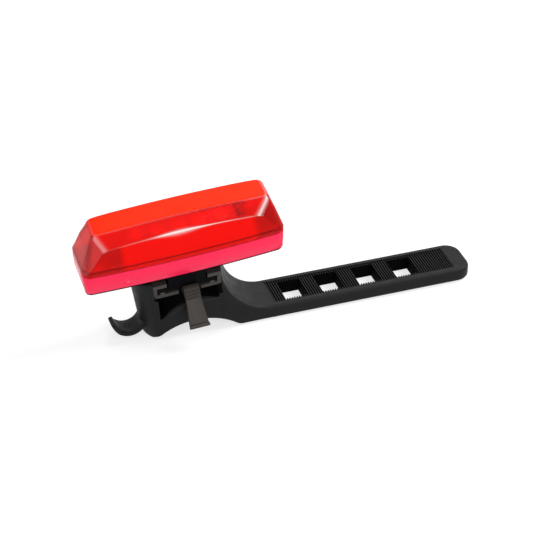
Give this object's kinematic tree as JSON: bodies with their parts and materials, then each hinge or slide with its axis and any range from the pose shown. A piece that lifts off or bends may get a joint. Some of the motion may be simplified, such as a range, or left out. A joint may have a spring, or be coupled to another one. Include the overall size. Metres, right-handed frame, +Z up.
{
  "type": "bicycle rear light",
  "caption": "Red bar-shaped rear light on a quick-release clip over a rubber saddle, with a ribbed strap and hook that wrap round a seat post.",
  "frame": {"origin": "middle of the saddle's mouth, on the plane that the strap's underside lies in", "axes": "+X along the strap, away from the hook; +Y across the strap, away from the release tab; +Z up from the post through the light"},
  "size_m": [0.1436, 0.0261, 0.0538],
  "materials": {
    "black_rubber": "matte moulded rubber",
    "clip_plastic": "fine satin moulded plastic",
    "red_lens": "clear red polished plastic",
    "seal_rubber": "matte rubber",
    "red_housing": "glossy translucent red plastic",
    "black_plastic": "satin moulded plastic",
    "steel": "bright steel",
    "board": "solder-mask laminate",
    "emitter": "phosphor dome on a white body",
    "white_plastic": "white moulded plastic",
    "chip_resin": "moulded chip resin",
    "soft_rubber": "soft matte rubber",
    "cell_foil": "laminated pouch foil",
    "foam": "closed-cell foam",
    "wire": "insulated wire",
    "clear_pin": "clear moulded light guide"
  },
  "bodies": {
    "mount": {"strap_mount": "black_rubber", "clip": "clip_plastic"},
    "latch": {"release_tab": "clip_plastic"},
    "light": {"lens": "red_lens", "lens_seal": "seal_rubber", "housing": "red_housing", "back_cover": "black_plastic", "cover_seal": "seal_rubber", "cover_screws": "steel", "circuit_board": "board", "board_screws": "steel", "leds": "emitter", "reflector": "white_plastic", "chips": "chip_resin", "tact_switch": "steel", "usb_socket": "steel", "battery": "cell_foil", "battery_pad": "foam", "battery_leads": "wire", "charge_window": "clear_pin"},
    "button": {"mode_button": "soft_rubber"},
    "flap": {"port_flap": "soft_rubber"}
  },
  "joints": [
    {"name": "light_slide", "type": "slide", "parent": "mount", "child": "light", "axis": [0.0127, -0.9781, -0.2075], "range_m": [0, 0.014], "deforming": ["release_tab"]},
    {"name": "latch_press", "type": "hinge", "parent": "mount", "child": "latch", "pos_m": [-0.00204, 0.00323, 0.02028], "axis": [0.9981, 0, 0.061], "range_deg": [0, 7], "stiffness_Nm_per_rad": 0.6},
    {"name": "button_press", "type": "slide", "parent": "light", "child": "button", "axis": [0.0127, -0.9781, -0.2075], "range_m": [0, 0.0008], "stiffness_N_per_m": 1500},
    {"name": "flap_swing", "type": "hinge", "parent": "light", "child": "flap", "pos_m": [0.01262, 0.0076, 0.03501], "axis": [-0.0597, -0.2079, 0.9763], "range_deg": [0, 110]}
  ]
}
